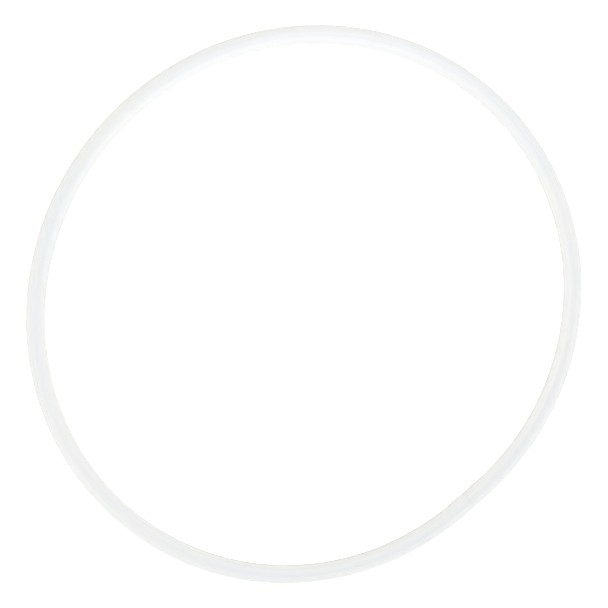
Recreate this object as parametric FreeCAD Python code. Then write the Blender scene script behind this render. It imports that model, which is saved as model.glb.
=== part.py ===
"""A rhythmic hoop: one plastic tube bent into a ring, its two ends joined over a plug and stapled.

The hoop lies flat. +Z is the ring's axis. The origin is the middle of the hoop's box at its
underside, so the lowest line of the tube is at Z = 0. The joint is at -Y and the crown at +Y.
The plug is straight, so its middle holds a short straight seat in the ring. The rest of the ring
is tangent arcs, which are tighter beside the seat and wider at the crown, so that the ring closes.
All lengths are in millimetres and all angles in degrees.
"""

import FreeCAD, Part
import math
import os

# Ring and tube
HOOP_DIAMETER = 600.0  # outer length round the hoop, divided by pi
TUBE_DIAMETER = 20.0
TUBE_WALL = 1.8
SEAT_LENGTH = 30.0  # straight stretch that the middle of the plug holds
ARC_TURN = 60.0  # each half of the ring is three arcs of this turn
SEAM_GAP = 0.1  # between the two tube ends
END_CHAMFER = 0.15  # on the outer edge of each tube end

# Plug
PLUG_LENGTH = 56.0
PLUG_TAPER = 0.5  # loss of radius from the land to each end, where the tube starts to bend
PLUG_LAND_LENGTH = 9.0  # plain middle under the seam, at the full bore diameter
BARBS_PER_HALF = 5
BARB_DEPTH = 0.9
BARB_ROOT_SHARE = 0.35  # share of each barb's pitch that is plain root, before the steep face
BARB_CREST_LENGTH = 0.5
PLUG_NOSE_LENGTH = 2.4
PLUG_NOSE_TAPER = 1.4
CORE_HOLE_DIAMETER = 8.0  # moulded hollow, one from each end of the plug
CORE_HOLE_DRAFT = 0.6  # how much the hollow's radius narrows towards its closed end
PLUG_WEB_LENGTH = 12.0  # solid middle between the two hollows

# Staples
STAPLE_CROWN = 11.0  # overall length of the crown, along the tube
STAPLE_LEG = 9.0  # from the crown's outer face to the tips
STAPLE_WIDTH = 1.2  # wire size across the tube
STAPLE_THICKNESS = 0.7  # wire size in the plane of the staple
STAPLE_BEND = 0.6  # outer radius where a leg meets the crown
STAPLE_TIP_LENGTH = 1.6
STAPLE_PROUD = 0.35  # how far the crown stands above the tube's surface
STAPLE_FROM_SEAM = 13.0  # from the seam to the middle of the crown
STAPLE_TURN = 30.0  # from the side that faces the ring's centre, towards the underside

TUBE_RADIUS = TUBE_DIAMETER / 2
BORE_RADIUS = TUBE_RADIUS - TUBE_WALL

# A ring of even radius would not close once part of it is straight. The missing length is made up
# by taking a step from the radius of the arcs beside the seat and adding it at the crown.
CENTRELINE_LENGTH = math.pi * (HOOP_DIAMETER - TUBE_DIAMETER)
SIDE_RADIUS = (CENTRELINE_LENGTH - SEAT_LENGTH) / (2 * math.pi)
RADIUS_STEP = SEAT_LENGTH / (4 * math.sin(math.radians(ARC_TURN)))
SHOULDER_RADIUS = SIDE_RADIUS - RADIUS_STEP
CROWN_RADIUS = SIDE_RADIUS + RADIUS_STEP
SEAT_Y = -SIDE_RADIUS  # the box's middle is halfway between the seat and the crown


def vec(x, y, z):
    return FreeCAD.Vector(x, y, z)


def disc(radius, position, normal):
    """A flat disc round a point of the centreline."""
    return Part.Face(Part.Wire(Part.makeCircle(radius, position, normal)))


def tube_section(position, direction):
    """The tube's annular section, square to the centreline."""
    bore = disc(BORE_RADIUS, position, direction)
    return disc(TUBE_RADIUS, position, direction).cut(bore).Faces[0]


def direction_at(heading):
    """The centreline's unit direction at a heading counted from +X towards +Y."""
    angle = math.radians(heading)
    return vec(math.cos(angle), math.sin(angle), 0)


def tube_arc(start, heading, radius, turn):
    """A bent stretch of tube that starts at a point and turns left, and where it ends."""
    centre = start + direction_at(heading + 90) * radius
    section = tube_section(start, direction_at(heading))
    end = centre + direction_at(heading + turn - 90) * radius
    return section.revolve(centre, vec(0, 0, 1), turn), end


def tube_end():
    """The straight stretch of tube on the +X side of the seam, with its chamfered end."""
    start = vec(SEAM_GAP / 2, SEAT_Y, TUBE_RADIUS)
    length = (SEAT_LENGTH - SEAM_GAP) / 2
    stretch = tube_section(start, vec(1, 0, 0)).extrude(vec(length, 0, 0))
    rims = [
        edge
        for edge in stretch.Edges
        if isinstance(edge.Curve, Part.Circle)
        and abs(edge.CenterOfMass.x - start.x) < END_CHAMFER
        and edge.Curve.Radius > BORE_RADIUS + END_CHAMFER
    ]
    return stretch.makeChamfer(END_CHAMFER, rims)


def mirrored(shape):
    """The same shape on the other side of the plane X = 0."""
    return shape.mirror(vec(0, 0, 0), vec(1, 0, 0))


def make_tube():
    """The hoop's tube: two straight ends, two shoulders, two sides and the crown, as one solid."""
    shoulder_start = vec(SEAT_LENGTH / 2, SEAT_Y, TUBE_RADIUS)
    shoulder, side_start = tube_arc(shoulder_start, 0, SHOULDER_RADIUS, ARC_TURN)
    side, crown_start = tube_arc(side_start, ARC_TURN, SIDE_RADIUS, ARC_TURN)
    crown, _ = tube_arc(crown_start, 2 * ARC_TURN, CROWN_RADIUS, 2 * ARC_TURN)
    half = [tube_end(), shoulder, side]
    tube = crown.fuse(half + [mirrored(stretch) for stretch in half]).removeSplitter()
    return tube.Solids[0]


def plug_outline():
    """Half of the plug's section, as (distance from the seam, radius) points."""
    half_length = PLUG_LENGTH / 2
    land_end = PLUG_LAND_LENGTH / 2
    barb_end = half_length - PLUG_NOSE_LENGTH
    pitch = (barb_end - land_end) / BARBS_PER_HALF
    outline = [(0, BORE_RADIUS), (land_end, BORE_RADIUS)]
    for barb in range(BARBS_PER_HALF):
        foot = land_end + barb * pitch
        crest = foot + BARB_ROOT_SHARE * pitch
        crest_radius = BORE_RADIUS - PLUG_TAPER * (crest - land_end) / (half_length - land_end)
        root_radius = crest_radius - BARB_DEPTH
        outline.append((foot, root_radius))
        outline.append((crest, root_radius))
        outline.append((crest, crest_radius))
        outline.append((crest + BARB_CREST_LENGTH, crest_radius))
    outline.append((barb_end, root_radius))
    outline.append((half_length, root_radius - PLUG_NOSE_TAPER))
    outline.append((half_length, CORE_HOLE_DIAMETER / 2))
    outline.append((PLUG_WEB_LENGTH / 2, CORE_HOLE_DIAMETER / 2 - CORE_HOLE_DRAFT))
    outline.append((PLUG_WEB_LENGTH / 2, 0))
    return outline


def make_plug():
    """The barbed plug, turned about the straight seat's centreline."""
    right = plug_outline()
    left = [(-x, radius) for x, radius in reversed(right[1:])]
    points = [vec(x, SEAT_Y + radius, TUBE_RADIUS) for x, radius in left + right]
    face = Part.Face(Part.makePolygon(points + points[:1]))
    return face.revolve(vec(0, SEAT_Y, TUBE_RADIUS), vec(1, 0, 0), 360)


def make_staple(middle_x):
    """A staple whose crown lies along the tube and whose legs point at the tube's centreline."""
    top = TUBE_RADIUS + STAPLE_PROUD
    tip = top - STAPLE_LEG
    outside = STAPLE_CROWN / 2
    inside = outside - STAPLE_THICKNESS
    right = [
        (outside, top),
        (outside, tip),
        (inside, tip + STAPLE_TIP_LENGTH),
        (inside, top - STAPLE_THICKNESS),
    ]
    left = [(-x, z) for x, z in reversed(right)]
    points = [vec(x, -STAPLE_WIDTH / 2, z) for x, z in right + left]
    face = Part.Face(Part.makePolygon(points + points[:1]))
    wire = face.extrude(vec(0, STAPLE_WIDTH, 0))
    shoulders = [
        edge
        for edge in wire.Edges
        if abs(edge.CenterOfMass.z - top) < STAPLE_PROUD / 2
        and abs(abs(edge.CenterOfMass.x) - outside) < STAPLE_THICKNESS / 2
    ]
    staple = wire.makeFillet(STAPLE_BEND, shoulders)
    staple.rotate(vec(0, 0, 0), vec(1, 0, 0), -90 - STAPLE_TURN)
    staple.translate(vec(middle_x, SEAT_Y, TUBE_RADIUS))
    return staple


def main():
    """Writes one STEP for each piece."""
    os.makedirs("parts", exist_ok=True)
    staples = [make_staple(side * STAPLE_FROM_SEAM) for side in (-1, 1)]
    pieces = {
        "hoop_tube": make_tube().cut(staples),
        "joint_plug": make_plug().cut(staples),
        "joint_staples": Part.makeCompound(staples),
    }
    for name, shape in pieces.items():
        shape.exportStep(f"parts/{name}.step")
        print(name, len(shape.Solids), "solids", round(shape.Volume), "mm3", shape.isValid())
    tube_volume = CENTRELINE_LENGTH * math.pi * (TUBE_RADIUS**2 - BORE_RADIUS**2)
    print("section times centreline:", round(tube_volume), "mm3")
    box = pieces["hoop_tube"].optimalBoundingBox()
    print("hoop over the outside:", round(box.XLength, 1), "by", round(box.YLength, 1), "mm")


main()
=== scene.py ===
import math

import bpy
from mathutils import Matrix, Vector, noise


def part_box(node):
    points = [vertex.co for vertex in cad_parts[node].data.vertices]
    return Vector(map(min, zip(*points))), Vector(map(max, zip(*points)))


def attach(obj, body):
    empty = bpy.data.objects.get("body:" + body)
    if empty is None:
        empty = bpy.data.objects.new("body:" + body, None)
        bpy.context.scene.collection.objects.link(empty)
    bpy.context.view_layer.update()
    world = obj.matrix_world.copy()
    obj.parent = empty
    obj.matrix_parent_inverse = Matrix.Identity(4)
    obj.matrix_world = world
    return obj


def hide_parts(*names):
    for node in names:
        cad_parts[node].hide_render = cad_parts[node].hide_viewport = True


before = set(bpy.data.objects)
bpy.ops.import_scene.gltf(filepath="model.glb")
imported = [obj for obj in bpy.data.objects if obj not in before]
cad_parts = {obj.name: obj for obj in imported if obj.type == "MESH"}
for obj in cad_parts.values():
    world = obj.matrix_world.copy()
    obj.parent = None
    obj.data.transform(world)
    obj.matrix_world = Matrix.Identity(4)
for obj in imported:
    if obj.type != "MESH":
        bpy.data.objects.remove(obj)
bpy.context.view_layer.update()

# ---------------------------------------------------------------- driving dimensions, in metres

MM = 0.001
HOOP_DIAMETER = 600 * MM  # outer length round the hoop, divided by pi
TUBE_RADIUS = 10 * MM
TUBE_WALL = 1.8 * MM
BORE_RADIUS = TUBE_RADIUS - TUBE_WALL
SEAT_LENGTH = 30 * MM  # straight stretch at the joint
SEAM_GAP = 0.04 * MM

PLUG_LENGTH = 56 * MM
PLUG_LAND_LENGTH = 9 * MM
PLUG_TAPER = 0.5 * MM
PLUG_NOSE_LENGTH = 2.4 * MM
PLUG_NOSE_TAPER = 1.4 * MM
PLUG_WEB_LENGTH = 12 * MM
BARBS_PER_HALF = 5
BARB_DEPTH = 0.9 * MM
BARB_ROOT_SHARE = 0.35
BARB_CREST_LENGTH = 0.5 * MM
CORE_HOLE_RADIUS = 4 * MM
CORE_HOLE_DRAFT = 0.6 * MM

STAPLE_CROWN = 11 * MM
STAPLE_LEG = 9 * MM
STAPLE_WIDTH = 1.2 * MM
STAPLE_THICKNESS = 0.7 * MM
STAPLE_BEND = 0.6 * MM
STAPLE_TIP_LENGTH = 1.6 * MM
STAPLE_PROUD = 0.35 * MM
STAPLE_FROM_SEAM = 13 * MM
STAPLE_TURN = math.radians(30)  # from the side that faces the ring's centre, towards the underside

# The centreline is a straight seat and tangent arcs of a sixth of a turn on each side. The arcs are
# tighter beside the seat and wider at the crown, which closes the ring.
ARC_TURN = math.radians(60)
CENTRELINE_LENGTH = math.pi * (HOOP_DIAMETER - 2 * TUBE_RADIUS)
SIDE_RADIUS = (CENTRELINE_LENGTH - SEAT_LENGTH) / math.tau
RADIUS_STEP = SEAT_LENGTH / (4 * math.sin(ARC_TURN))
STRETCHES = [
    (SEAT_LENGTH / 2, None),
    ((SIDE_RADIUS - RADIUS_STEP) * ARC_TURN, SIDE_RADIUS - RADIUS_STEP),
    (SIDE_RADIUS * ARC_TURN, SIDE_RADIUS),
    ((SIDE_RADIUS + RADIUS_STEP) * ARC_TURN, SIDE_RADIUS + RADIUS_STEP),
]

LOW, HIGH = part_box("hoop_tube")
CENTRE = Vector(((LOW.x + HIGH.x) / 2, 0, (LOW.z + HIGH.z) / 2))
SEAT_MIDDLE = CENTRE + Vector((0, -SIDE_RADIUS, 0))


# ---------------------------------------------------------------- the ring's centreline


def half_ring(distance):
    """Offset from the seat's middle and heading, at a distance along the +X half of the ring."""
    x, y, heading = 0.0, 0.0, 0.0
    for length, radius in STRETCHES:
        step = min(distance, length)
        if radius is None:
            x += step
        else:
            turned = heading + step / radius
            x += radius * (math.sin(turned) - math.sin(heading))
            y += radius * (math.cos(heading) - math.cos(turned))
            heading = turned
        distance -= step
        if distance <= 0:
            break
    return x, y, heading


def ring_at(distance):
    """Point and unit direction of the centreline, at a distance from the seam all the way round."""
    if distance <= CENTRELINE_LENGTH / 2:
        x, y, heading = half_ring(distance)
    else:
        x, y, heading = half_ring(CENTRELINE_LENGTH - distance)
        x, heading = -x, -heading
    return SEAT_MIDDLE + Vector((x, y, 0)), Vector((math.cos(heading), math.sin(heading), 0))


def section_axes(direction):
    """Two unit vectors square to the centreline: towards the ring's centre, and up."""
    up = Vector((0, 0, 1))
    return up.cross(direction), up


# ---------------------------------------------------------------- mesh helpers


def new_piece(name, points, faces, node, material):
    """A smooth-shaded mesh piece that stands for a CAD node and rides on the hoop's one body."""
    mesh = bpy.data.meshes.new(name)
    mesh.from_pydata([tuple(p) for p in points], [], faces)
    mesh.validate()
    mesh.update()
    mesh.shade_smooth()
    piece = bpy.data.objects.new(name, mesh)
    bpy.context.scene.collection.objects.link(piece)
    mesh.materials.append(material)
    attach(piece, "root")
    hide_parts(node)
    return piece


def tube_faces(rings, around, closed=False):
    """Quads between rings of points. A closed run joins its last ring to its first."""
    faces = []
    for ring in range(rings if closed else rings - 1):
        here, there = ring * around, (ring + 1) % rings * around
        for i in range(around):
            j = (i + 1) % around
            faces.append((here + i, here + j, there + j, there + i))
    return faces


def store_vectors(piece, name, values):
    """Keeps one vector for each vertex, for the materials to read."""
    layer = piece.data.attributes.new(name, "FLOAT_VECTOR", "POINT")
    layer.data.foreach_set("vector", [c for value in values for c in value])


def smooth_step(edge0, edge1, value):
    """0 below the first edge, 1 above the second, smooth between."""
    share = min(1.0, max(0.0, (value - edge0) / (edge1 - edge0)))
    return share * share * (3 - 2 * share)


# ---------------------------------------------------------------- materials


class Graph:
    """The node tree of a material or the world, with short calls to add and join nodes."""

    def __init__(self, owner, shader="Principled BSDF"):
        owner.use_nodes = True
        self.owner = owner
        self.tree = owner.node_tree
        self.shader = self.tree.nodes[shader]

    def add(self, kind, inputs=None, **settings):
        """A new shader node, with its settings set and its inputs set or joined."""
        node = self.tree.nodes.new("ShaderNode" + kind)
        for key, value in settings.items():
            setattr(node, key, value)
        for key, value in (inputs or {}).items():
            self.put(node.inputs[key], value)
        return node

    def put(self, socket, value):
        """Joins another node's output to a socket, or sets the socket's value."""
        if isinstance(value, bpy.types.NodeSocket):
            self.tree.links.new(value, socket)
        else:
            socket.default_value = value

    def set(self, **values):
        """Sets or joins the shader's own sockets. An underscore in a name stands for a space."""
        for key, value in values.items():
            self.put(self.shader.inputs[key.replace("_", " ")], value)

    def coordinates(self, stretch):
        """The stored place along and across the tube, in metres, times a scale on each axis."""
        place = self.add("Attribute", attribute_name="tube_place")
        scaled = self.add(
            "VectorMath", {0: place.outputs["Vector"], 1: stretch}, operation="MULTIPLY"
        )
        return scaled.outputs["Vector"]

    def noise(self, stretch, detail=2.0, roughness=0.5, distortion=0.0):
        """Noise over the stored place, from 0 to 1."""
        inputs = {
            "Vector": self.coordinates(stretch),
            "Scale": 1.0,
            "Detail": detail,
            "Roughness": roughness,
            "Distortion": distortion,
        }
        return self.add("TexNoise", inputs).outputs["Fac"]

    def remap(self, value, low, high, to_low=0.0, to_high=1.0):
        """The value moved from one range to another, and held inside it."""
        inputs = {"Value": value, 1: low, 2: high, 3: to_low, 4: to_high}
        return self.add("MapRange", inputs).outputs["Result"]

    def math(self, operation, *values):
        """The result of a Math node."""
        return self.add("Math", dict(enumerate(values)), operation=operation).outputs["Value"]

    def mix(self, share, a, b):
        """Colour a where the share is 0, colour b where it is 1."""
        inputs = {"Factor": share, "A": a, "B": b}
        node = self.add("Mix", data_type="RGBA")
        for socket in node.inputs:
            if socket.enabled and socket.name in inputs:
                self.put(socket, inputs[socket.name])
        return next(s for s in node.outputs if s.enabled)

    def bump(self, height, distance, normal=None):
        """Normals tilted by a height map, on top of other tilted normals if they are given."""
        node = self.add("Bump", {"Height": height, "Distance": distance, "Strength": 1.0})
        if normal is not None:
            self.put(node.inputs["Normal"], normal)
        return node.outputs["Normal"]


BODY_COOL = (0.788, 0.800, 0.812, 1)
BODY_WARM = (0.811, 0.816, 0.804, 1)
DRAW_LINE = (0.718, 0.73, 0.75, 1)
SCUFF_GREY = (0.64, 0.645, 0.65, 1)
SPECK_GREY = (0.50, 0.49, 0.47, 1)
PLUG_PALE = (0.80, 0.79, 0.73, 1)
PLUG_YELLOWED = (0.74, 0.73, 0.68, 1)
ZINC_BRIGHT = (0.66, 0.67, 0.68, 1)
ZINC_DULL = (0.52, 0.53, 0.55, 1)
POLYETHYLENE_IOR = 1.52
MILK_DEPTH = 3 * MM  # how deep light goes into the milky tube


def white_tube_material():
    """Extruded white polyethylene: milky, satin to glossy, with faint draw lines and handling marks."""
    graph = Graph(bpy.data.materials.new("tube_white_polyethylene"))
    cloud = graph.noise((9, 60, 60), detail=3)
    streak = graph.noise((1.2, 1100, 1100), detail=3, roughness=0.6)
    scuff = graph.remap(graph.noise((60, 500, 500), detail=4, roughness=0.62, distortion=0.6), 0.6, 0.7)
    patch = graph.remap(graph.noise((7, 45, 45)), 0.45, 0.6)
    wear = graph.math("MULTIPLY", scuff, patch)
    speck = graph.remap(graph.noise((700, 700, 700), detail=1), 0.77, 0.80)
    peel = graph.noise((420, 420, 420))

    body = graph.mix(graph.remap(cloud, 0.35, 0.65), BODY_COOL, BODY_WARM)
    lined = graph.mix(graph.remap(streak, 0.35, 0.7, 0, 0.6), body, DRAW_LINE)
    marked = graph.mix(graph.math("MULTIPLY", wear, 0.5), lined, SCUFF_GREY)
    dusted = graph.mix(graph.math("MULTIPLY", speck, 0.5), marked, SPECK_GREY)

    worn = graph.math("MULTIPLY", wear, 0.25)
    rough = graph.math("ADD", graph.remap(streak, 0.3, 0.7, 0.07, 0.17), worn)
    fine = graph.bump(peel, 0.02 * MM)
    lines = graph.bump(streak, 0.03 * MM, normal=fine)
    scratched = graph.bump(wear, 0.03 * MM, normal=lines)
    graph.set(Base_Color=dusted, Roughness=rough, Normal=scratched, IOR=POLYETHYLENE_IOR)
    graph.set(Subsurface_Weight=0.25, Subsurface_Radius=(1.0, 1.0, 1.0))
    graph.set(Subsurface_Scale=MILK_DEPTH)
    return graph.owner


def plug_material():
    """Natural moulded polyethylene, matt from the mould, a little yellowed."""
    graph = Graph(bpy.data.materials.new("plug_natural_polyethylene"))
    cloud = graph.noise((120, 120, 120), detail=3)
    grain = graph.noise((1800, 1800, 1800))
    body = graph.mix(graph.remap(cloud, 0.35, 0.65), PLUG_PALE, PLUG_YELLOWED)
    graph.set(Base_Color=body, Roughness=graph.remap(grain, 0.3, 0.7, 0.42, 0.58), IOR=POLYETHYLENE_IOR)
    graph.set(Normal=graph.bump(grain, 0.03 * MM))
    return graph.owner


def staple_material():
    """Galvanised steel wire, drawn along its length, with dull zinc patches."""
    graph = Graph(bpy.data.materials.new("staple_galvanised_steel"))
    zinc = graph.noise((1500, 1500, 1500), detail=3)
    drawn = graph.noise((300, 9000, 9000))
    body = graph.mix(graph.remap(zinc, 0.4, 0.6), ZINC_BRIGHT, ZINC_DULL)
    graph.set(Base_Color=body, Metallic=1.0, Roughness=graph.remap(zinc, 0.35, 0.65, 0.28, 0.48))
    graph.set(Normal=graph.bump(drawn, 0.02 * MM))
    return graph.owner


# ---------------------------------------------------------------- the tube

AROUND = 72
END_BEVEL = 0.1 * MM
BEVEL_STEPS = 3
BORE_BEVEL_SHARE = 0.4  # the bore's bevel, as a share of the outside's
SEAM_ZONE = 36 * MM  # finer stations here, for the swelling over the plug and the staples' dents
SEAM_STEP = 0.5 * MM
LONG_STEP = 4 * MM
OVAL = 0.09 * MM  # difference between the section's largest and smallest radius
WAVE = 0.06 * MM
WAVES_PER_METRE = 14  # cells of the noise, along the tube
WAVE_ROUNDNESS = 0.6  # cells of the noise from the tube's middle to its surface
END_STEP = 0.05 * MM  # how far the two ends are out of line at the seam
END_STEP_REACH = 20 * MM
PLUG_SWELL = 0.10 * MM
SWELL_RIPPLE = 0.25  # share of the swelling that follows the plug's barbs
SWELL_FADE_START = 4 * MM  # before the plug's end
SWELL_FADE_END = 3 * MM  # past the plug's end
DENT_DEPTH = 0.40 * MM
DENT_LIP = 0.10 * MM
DENT_REACH = 1.1 * MM  # distance from the staple's crown, as are the next three
LIP_START = 0.4 * MM
LIP_TOP = 1.2 * MM
LIP_END = 2.4 * MM


def tube_stations():
    """Distances from the seam, fine beside it and even elsewhere."""
    first, last = SEAM_GAP / 2, CENTRELINE_LENGTH - SEAM_GAP / 2
    bevel = [END_BEVEL * (1 - math.cos(math.pi / 2 * i / BEVEL_STEPS)) for i in range(BEVEL_STEPS + 1)]
    fine_count = round((SEAM_ZONE - END_BEVEL) / SEAM_STEP)
    fine = [END_BEVEL + (SEAM_ZONE - END_BEVEL) * i / fine_count for i in range(1, fine_count + 1)]
    near = bevel + fine
    long_count = round((CENTRELINE_LENGTH - 2 * SEAM_ZONE) / LONG_STEP)
    span = (last - near[-1]) - (first + near[-1])
    middle = [first + near[-1] + span * i / long_count for i in range(1, long_count)]
    return [first + d for d in near] + middle + [last - d for d in reversed(near)]


def from_seam(distance):
    """Signed distance along the tube from the seam, positive on the +X side."""
    return distance if distance < CENTRELINE_LENGTH / 2 else distance - CENTRELINE_LENGTH


def staple_dent(along, angle):
    """How far the outside is pressed in, or raised, by the staple's crown beside it."""
    across = TUBE_RADIUS * math.remainder(angle + STAPLE_TURN, math.tau)
    past_end = max(0.0, abs(abs(along) - STAPLE_FROM_SEAM) - STAPLE_CROWN / 2)
    reach = math.hypot(past_end, max(0.0, abs(across) - STAPLE_WIDTH / 2))
    pressed = 1 - smooth_step(0, DENT_REACH, reach)
    lip = smooth_step(LIP_START, LIP_TOP, reach) * (1 - smooth_step(LIP_TOP, LIP_END, reach))
    return DENT_LIP * lip - DENT_DEPTH * pressed


def outside_radius(distance, angle):
    """The tube's outer radius, with the small unevenness of an extruded and joined tube."""
    along = from_seam(distance)
    turn = math.tau * distance / CENTRELINE_LENGTH
    radius = TUBE_RADIUS - OVAL / 2 + OVAL / 2 * math.cos(2 * angle + turn)
    across = (math.cos(angle) * WAVE_ROUNDNESS, math.sin(angle) * WAVE_ROUNDNESS)
    place = Vector((distance * WAVES_PER_METRE, *across))
    radius += WAVE * noise.noise(place) * smooth_step(0, SEAM_ZONE, abs(along))
    half_plug = PLUG_LENGTH / 2
    held = 1 - smooth_step(half_plug - SWELL_FADE_START, half_plug + SWELL_FADE_END, abs(along))
    pitch = (half_plug - PLUG_NOSE_LENGTH - PLUG_LAND_LENGTH / 2) / BARBS_PER_HALF
    ripple = 0.5 + 0.5 * math.cos(math.tau * (abs(along) - PLUG_LAND_LENGTH / 2) / pitch)
    radius += PLUG_SWELL * held * (1 - SWELL_RIPPLE + SWELL_RIPPLE * ripple)
    if abs(along) < STAPLE_FROM_SEAM + STAPLE_CROWN:
        radius += staple_dent(along, angle)
    return radius


def tube_ring(distance, wall_outside):
    """One ring of points, with where each lies along and across the straightened tube."""
    point, direction = ring_at(distance)
    inward, up = section_axes(direction)
    along = from_seam(distance)
    end = abs(along) - SEAM_GAP / 2
    bevel = END_BEVEL - math.sqrt(max(0.0, END_BEVEL**2 - max(0.0, END_BEVEL - end) ** 2))
    slip = END_STEP * (1 - smooth_step(0, END_STEP_REACH, abs(along))) * math.copysign(0.5, along)
    points, places = [], []
    for i in range(AROUND):
        angle = math.tau * i / AROUND
        if wall_outside:
            radius = outside_radius(distance, angle) - bevel
        else:
            radius = BORE_RADIUS + bevel * BORE_BEVEL_SHARE
        across = inward * (math.cos(angle) * radius) + up * (math.sin(angle) * radius + slip)
        points.append(point + across)
        places.append((distance, math.cos(angle) * radius, math.sin(angle) * radius))
    return points, places


def make_tube(material):
    """The hollow tube: its outside, its bore and the two rounded ends, as one closed mesh."""
    stations = tube_stations()
    points, places = [], []
    for distance in stations:
        ring, where = tube_ring(distance, True)
        points += ring
        places += where
    for distance in reversed(stations):
        ring, where = tube_ring(distance, False)
        points += ring
        places += where
    faces = tube_faces(2 * len(stations), AROUND, closed=True)
    piece = new_piece("hoop_tube_skin", points, faces, "hoop_tube", material)
    store_vectors(piece, "tube_place", places)
    return piece


# ---------------------------------------------------------------- the plug inside the joint

PLUG_AROUND = 64
EDGE_ROUND = 0.12 * MM
PARTING_FLASH = 0.08 * MM
FLASH_ABOVE = 5 * MM  # the parting line is on what lies beyond this radius: the plug's outside
PLUG_CLEARANCE = 0.02 * MM  # least gap between the plug and the bore
HOLLOW_CAP_RADIUS = 0.4 * MM  # of the flat cap that closes the middle of each hollow's end


def plug_profile():
    """Half of the plug's turned outline, as (distance from the seam, radius), with eased corners."""
    half = PLUG_LENGTH / 2
    land_end = PLUG_LAND_LENGTH / 2
    barb_end = half - PLUG_NOSE_LENGTH
    pitch = (barb_end - land_end) / BARBS_PER_HALF
    corners = [(land_end, BORE_RADIUS)]
    for barb in range(BARBS_PER_HALF):
        foot = land_end + barb * pitch
        crest = foot + BARB_ROOT_SHARE * pitch
        crest_radius = BORE_RADIUS - PLUG_TAPER * (crest - land_end) / (half - land_end)
        root = crest_radius - BARB_DEPTH
        corners += [(foot, root), (crest, root), (crest, crest_radius)]
        corners.append((crest + BARB_CREST_LENGTH, crest_radius))
    corners += [(barb_end, root), (half, root - PLUG_NOSE_TAPER), (half, CORE_HOLE_RADIUS)]
    corners.append((PLUG_WEB_LENGTH / 2, CORE_HOLE_RADIUS - CORE_HOLE_DRAFT))
    return corners


def eased(corners, start, end):
    """The outline with each corner cut by a short rounded step."""
    line = [Vector(p) for p in [start, *corners, end]]
    points = [line[0]]
    for before, corner, after in zip(line, line[1:], line[2:]):
        back, on = before - corner, after - corner
        cut = min(EDGE_ROUND, back.length / 3, on.length / 3)
        first, last = corner + back.normalized() * cut, corner + on.normalized() * cut
        points += [first, (first + last + 2 * corner) / 4, last]
    points.append(line[-1])
    return points


def make_plug(material):
    """The barbed plug, turned from its outline, with a faint mould parting line on two sides."""
    half = plug_profile()
    mirrored_half = [(-x, r) for x, r in reversed(half)]
    start = (-PLUG_WEB_LENGTH / 2, HOLLOW_CAP_RADIUS)
    end = (PLUG_WEB_LENGTH / 2, HOLLOW_CAP_RADIUS)
    outline = eased(mirrored_half + half, start, end)
    points, places = [], []
    for x, radius in outline:
        for i in range(PLUG_AROUND):
            angle = math.tau * i / PLUG_AROUND
            on_line = i % (PLUG_AROUND // 2) == 0 and radius > FLASH_ABOVE
            flash = PARTING_FLASH if on_line else 0.0
            reach = min(radius + flash, BORE_RADIUS - PLUG_CLEARANCE)
            place = (x, reach * math.cos(angle), reach * math.sin(angle))
            points.append(SEAT_MIDDLE + Vector(place))
            places.append(place)
    faces = tube_faces(len(outline), PLUG_AROUND)
    last = (len(outline) - 1) * PLUG_AROUND
    faces.append(tuple(reversed(range(PLUG_AROUND))))
    faces.append(tuple(last + i for i in range(PLUG_AROUND)))
    piece = new_piece("joint_plug_moulding", points, faces, "joint_plug", material)
    store_vectors(piece, "tube_place", places)
    return piece


# ---------------------------------------------------------------- the staples

BEND_STEPS = 6
WIRE_EDGE = 0.14 * MM  # radius of the wire's rounded edges
EDGE_STEPS = 3
TIP_MIDDLE = 0.3  # where the wedge tip has one more section, as a share of its length
TIP_BLUNTNESS = 0.2  # the wedge would come to a point this share of its length past the tip


def wire_section():
    """The wire's flattened section with rounded edges, as (across, through) offsets."""
    side = STAPLE_WIDTH / 2 - WIRE_EDGE
    top = STAPLE_THICKNESS / 2 - WIRE_EDGE
    corners = [(side, top), (-side, top), (-side, -top), (side, -top)]
    points = []
    for quarter, (x, y) in enumerate(corners):
        for i in range(EDGE_STEPS + 1):
            angle = math.radians(90 * quarter + 90 * i / EDGE_STEPS)
            points.append((x + WIRE_EDGE * math.cos(angle), y + WIRE_EDGE * math.sin(angle)))
    return points


def staple_path():
    """The wire's middle line from tip to tip, as (along, height, direction angle)."""
    top = TUBE_RADIUS + STAPLE_PROUD - STAPLE_THICKNESS / 2
    side = STAPLE_CROWN / 2 - STAPLE_THICKNESS / 2
    tip = TUBE_RADIUS + STAPLE_PROUD - STAPLE_LEG
    heights = [tip, tip + TIP_MIDDLE * STAPLE_TIP_LENGTH, tip + STAPLE_TIP_LENGTH, top - STAPLE_BEND]
    left = [(-side, z, math.pi / 2) for z in heights]
    for i in range(1, BEND_STEPS + 1):
        a = math.pi / 2 * i / BEND_STEPS
        x = -side + STAPLE_BEND * (1 - math.cos(a))
        left.append((x, top - STAPLE_BEND * (1 - math.sin(a)), math.pi / 2 - a))
    crown = [(-side / 2, top, 0.0), (0.0, top, 0.0)]
    return left + crown + [(-x, z, -a) for x, z, a in reversed(left + crown[:1])]


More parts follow.
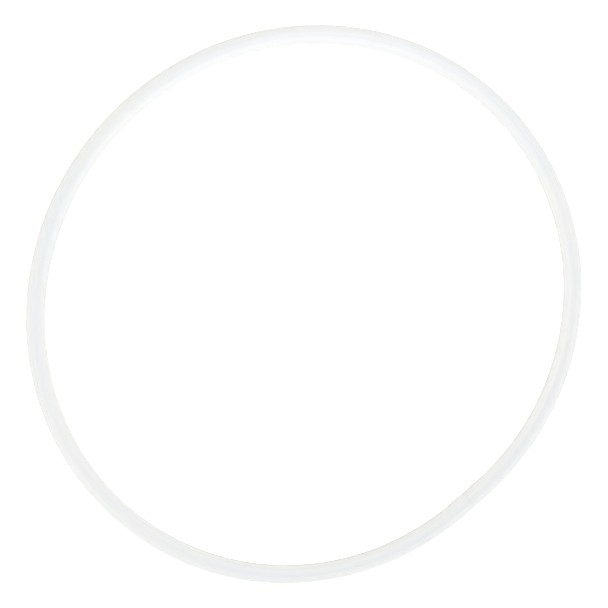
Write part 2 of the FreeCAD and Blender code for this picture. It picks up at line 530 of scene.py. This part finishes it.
def make_staple(middle_x):
    """One staple's points, faces and places, on the lower side of the tube's inner face."""
    section, path = wire_section(), staple_path()
    lean = Matrix.Rotation(-math.pi / 2 - STAPLE_TURN, 3, "X")
    tip = TUBE_RADIUS + STAPLE_PROUD - STAPLE_LEG
    points, places = [], []
    length, last = 0.0, path[0]
    for x, z, a in path:
        length += math.hypot(x - last[0], z - last[1])
        last = (x, z)
        thin = smooth_step(-TIP_BLUNTNESS, 1.0, (z - tip) / STAPLE_TIP_LENGTH)
        outward = Vector((-math.sin(a), 0, math.cos(a)))
        for across, through in section:
            shifted = STAPLE_THICKNESS / 2 * (1 - thin)
            place = Vector((x, across, z)) + outward * (through * thin + shifted)
            points.append(SEAT_MIDDLE + Vector((middle_x, 0, 0)) + lean @ place)
            places.append((length, across, through))
    faces = tube_faces(len(path), len(section))
    first_cap = tuple(reversed(range(len(section))))
    end = (len(path) - 1) * len(section)
    return points, faces + [first_cap, tuple(end + i for i in range(len(section)))], places


def make_staples(material):
    """Both staples, one through each end of the tube, as one piece of two separate solids."""
    points, faces, places = [], [], []
    for side in (-1, 1):
        wire_points, wire_faces, wire_places = make_staple(side * STAPLE_FROM_SEAM)
        faces += [tuple(len(points) + i for i in face) for face in wire_faces]
        points += wire_points
        places += wire_places
    name = "joint_staple_wires"
    piece = new_piece(name, points, faces, "joint_staples", material)
    store_vectors(piece, "tube_place", places)
    return piece


# ---------------------------------------------------------------- floor, light and camera

UP_SIDE = math.radians(51)  # side of the ring that is up in the picture
FLOOR_SIZE = 60.0
FLOOR_DROP = 0.1 * MM  # the floor lies this far under the tube, so that they never cut each other
FLOOR_GLOW = 0.9
FLOOR_COLOUR = (0.75, 0.71, 0.62, 1)
WHITE = (1.0, 1.0, 1.0, 1)
# The surround's brightness at heights in the sky, in degrees: bright low walls, and a dark opening
# for the camera at the top. The hoop's gloss sees grey flags there with a bright strip between them,
# so that its edges show against the white floor.
TENT_LIGHT = [(0, 1.25), (14, 2.0), (26, 1.1), (44, 0.74), (66, 0.49), (90, 0.26)]
FLAG_LIGHT = [(0, 0.38), (22, 0.43), (30, 1.27), (46, 1.27), (56, 0.47), (90, 0.42)]
TENT_FULL = 3.0  # brightness that the ramps count as 1
LARGE_BOX = 1.2
SMALL_BOX = 0.4
FILL_HEIGHT = 0.35


def make_floor():
    """A plain pale studio floor, level with the lowest line of the tube.

    To the camera it glows white, as a light table does. The hoop gets only its pale warm bounce.
    """
    graph = Graph(bpy.data.materials.new("studio_floor"))
    seen = graph.add("LightPath").outputs["Is Camera Ray"]
    graph.set(Base_Color=FLOOR_COLOUR, Roughness=0.9, Specular_IOR_Level=0.1)
    graph.set(Emission_Color=WHITE, Emission_Strength=graph.math("MULTIPLY", seen, FLOOR_GLOW))
    mesh = bpy.data.meshes.new("studio_floor")
    half = FLOOR_SIZE / 2
    corners = [(-half, -half, 0), (half, -half, 0), (half, half, 0), (-half, half, 0)]
    mesh.from_pydata(corners, [], [(0, 1, 2, 3)])
    mesh.materials.append(graph.owner)
    floor = bpy.data.objects.new("studio_floor", mesh)
    floor.location = (CENTRE.x, CENTRE.y, LOW.z - FLOOR_DROP)
    bpy.context.scene.collection.objects.link(floor)


def sky_ramp(graph, height, lights):
    """Colours by the sine of the height in the sky, from pairs of degrees and brightness."""
    ramp = graph.add("ValToRGB", {"Fac": height})
    stops = ramp.color_ramp.elements
    while len(stops) < len(lights):
        stops.new(1.0)
    for stop, (degrees, light) in zip(stops, lights):
        stop.position = math.sin(math.radians(degrees))
        share = light / TENT_FULL
        stop.color = (share, share, share, 1)
    return ramp.outputs["Color"]


def make_world():
    """A soft white surround like a light tent, the same all round. The hoop's gloss sees the flags."""
    graph = Graph(bpy.data.worlds.new("studio_surround"), "Background")
    towards = graph.add("TexCoord").outputs["Generated"]
    height = graph.add("SeparateXYZ", {"Vector": towards}).outputs["Z"]
    mirrored = graph.add("LightPath").outputs["Is Glossy Ray"]
    light = graph.mix(mirrored, sky_ramp(graph, height, TENT_LIGHT), sky_ramp(graph, height, FLAG_LIGHT))
    graph.set(Color=light, Strength=TENT_FULL)
    bpy.context.scene.world = graph.owner


def above_floor(azimuth, elevation, distance):
    """A place at a distance from the ring's centre. Azimuth is counted from +X towards +Y."""
    a, e = math.radians(azimuth), math.radians(elevation)
    away = Vector((math.cos(a) * math.cos(e), math.sin(a) * math.cos(e), math.sin(e)))
    return CENTRE + away * distance


def make_area(name, place, target, size, power):
    """A square soft light that faces a target. Neither the camera nor the hoop's gloss sees it."""
    data = bpy.data.lights.new(name, "AREA")
    data.size = size
    data.energy = power
    lamp = bpy.data.objects.new(name, data)
    lamp.location = place
    lamp.visible_camera = False
    lamp.visible_glossy = False
    lamp.rotation_mode = "QUATERNION"
    lamp.rotation_quaternion = (place - target).to_track_quat("Z", "Y")
    bpy.context.scene.collection.objects.link(lamp)


def make_lights():
    """Two large softboxes, a small one over the side that is up in the picture, and one by the joint."""
    make_area("key_softbox", above_floor(-39, 25, 2.0), CENTRE, LARGE_BOX, 6.6)
    make_area("side_softbox", above_floor(171, 50, 2.0), CENTRE, LARGE_BOX, 9.2)
    up_side = CENTRE + Vector((math.cos(UP_SIDE), math.sin(UP_SIDE), 0)) * SIDE_RADIUS
    make_area("fill_softbox", up_side + Vector((0, 0, FILL_HEIGHT)), up_side, SMALL_BOX, 0.30)
    make_area("joint_softbox", above_floor(-84, 12, 0.8), CENTRE, SMALL_BOX, 0.31)


CAMERA_DISTANCE = 2.2
CAMERA_TILT = math.radians(16.6)  # from the ring's axis
CAMERA_SIDE = math.radians(100)  # side of the ring that the camera leans to, from +X towards +Y
CAMERA_LENS = 123.2
AIM_RIGHT = -5.5 * MM  # where the camera points, from the ring's centre
AIM_UP = 4.1 * MM


def make_camera():
    """A long lens nearly along the ring's axis, leaning to the crown's side."""
    lean = math.sin(CAMERA_TILT)
    back = Vector((math.cos(CAMERA_SIDE) * lean, math.sin(CAMERA_SIDE) * lean, math.cos(CAMERA_TILT)))
    up_hint = Vector((math.cos(UP_SIDE), math.sin(UP_SIDE), 0))
    right = up_hint.cross(back).normalized()
    up = back.cross(right)
    aim = CENTRE + right * AIM_RIGHT + up * AIM_UP
    data = bpy.data.cameras.new("camera")
    data.lens = CAMERA_LENS
    data.clip_start, data.clip_end = 0.05, 100
    camera = bpy.data.objects.new("camera", data)
    turned = Matrix((right, up, back)).transposed().to_4x4()
    camera.matrix_world = Matrix.Translation(aim + back * CAMERA_DISTANCE) @ turned
    bpy.context.scene.collection.objects.link(camera)
    bpy.context.scene.camera = camera


# ---------------------------------------------------------------- the whole scene

make_tube(white_tube_material())
make_plug(plug_material())
make_staples(staple_material())
make_floor()
make_world()
make_lights()
make_camera()
bpy.context.scene.view_settings.view_transform = "Standard"
